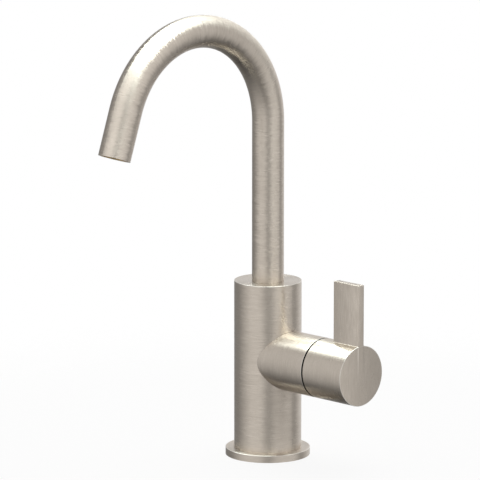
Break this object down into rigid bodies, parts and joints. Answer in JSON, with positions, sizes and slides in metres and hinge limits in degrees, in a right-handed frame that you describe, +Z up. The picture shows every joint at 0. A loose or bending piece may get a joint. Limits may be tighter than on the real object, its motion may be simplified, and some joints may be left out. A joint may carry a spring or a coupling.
{
  "type": "basin mixer tap",
  "caption": "Basin mixer tap: round column on a flange, swivelling gooseneck spout, side barrel and a flat lever that turns to open and mix.",
  "frame": {"origin": "centre of the flange's underside, on the deck that the tap stands on", "axes": "+Z up the column's axis; the spout reaches along -Y, towards the user; the side barrel and its lever lie along +X"},
  "size_m": [0.1182, 0.1834, 0.313],
  "materials": {
    "brushed_nickel": "brushed nickel plating, warm grey, fine circular brushing",
    "brass": "turned, unplated",
    "steel": "stainless screw",
    "zinc": "die-cast",
    "rubber": "matt",
    "dark_ring": "moulded acetal",
    "glide_plastic": "moulded acetal",
    "cartridge_plastic": "moulded",
    "ceramic_disc": "lapped alumina",
    "aerator_dark": "moulded acetal"
  },
  "bodies": {
    "body": {"base_gasket": "rubber", "base_flange": "brushed_nickel", "column": "brushed_nickel", "valve_barrel": "brushed_nickel", "spout_stop_screw": "steel", "spout_glide_ring": "glide_plastic", "cartridge_seal": "rubber", "cartridge_base": "cartridge_plastic", "fixed_disc": "ceramic_disc", "cartridge_housing": "cartridge_plastic", "cartridge_nut": "brass", "parting_ring": "dark_ring"},
    "spout": {"spout_tube": "brushed_nickel", "spout_foot": "brass", "spout_orings": "rubber", "outlet_ring": "brass", "aerator_washer": "rubber", "aerator_shell": "aerator_dark", "aerator_honeycomb": "aerator_dark", "aerator_filter": "cartridge_plastic"},
    "lever": {"moving_disc": "ceramic_disc", "disc_carrier": "cartridge_plastic", "cartridge_stem": "brass", "stem_oring": "rubber", "handle_adapter": "zinc", "handle_hub": "brushed_nickel", "lever_blade": "brushed_nickel", "hub_grub_screw": "steel"}
  },
  "joints": [
    {"name": "spout_swivel", "type": "hinge", "parent": "body", "child": "spout", "pos_m": [0, 0, 0.1225], "axis": [0, 0, 1], "range_deg": [-60, 60]},
    {"name": "lever_turn", "type": "hinge", "parent": "body", "child": "lever", "pos_m": [0.0535, 0, 0.069], "axis": [1, 0, 0], "range_deg": [0, 90]}
  ]
}
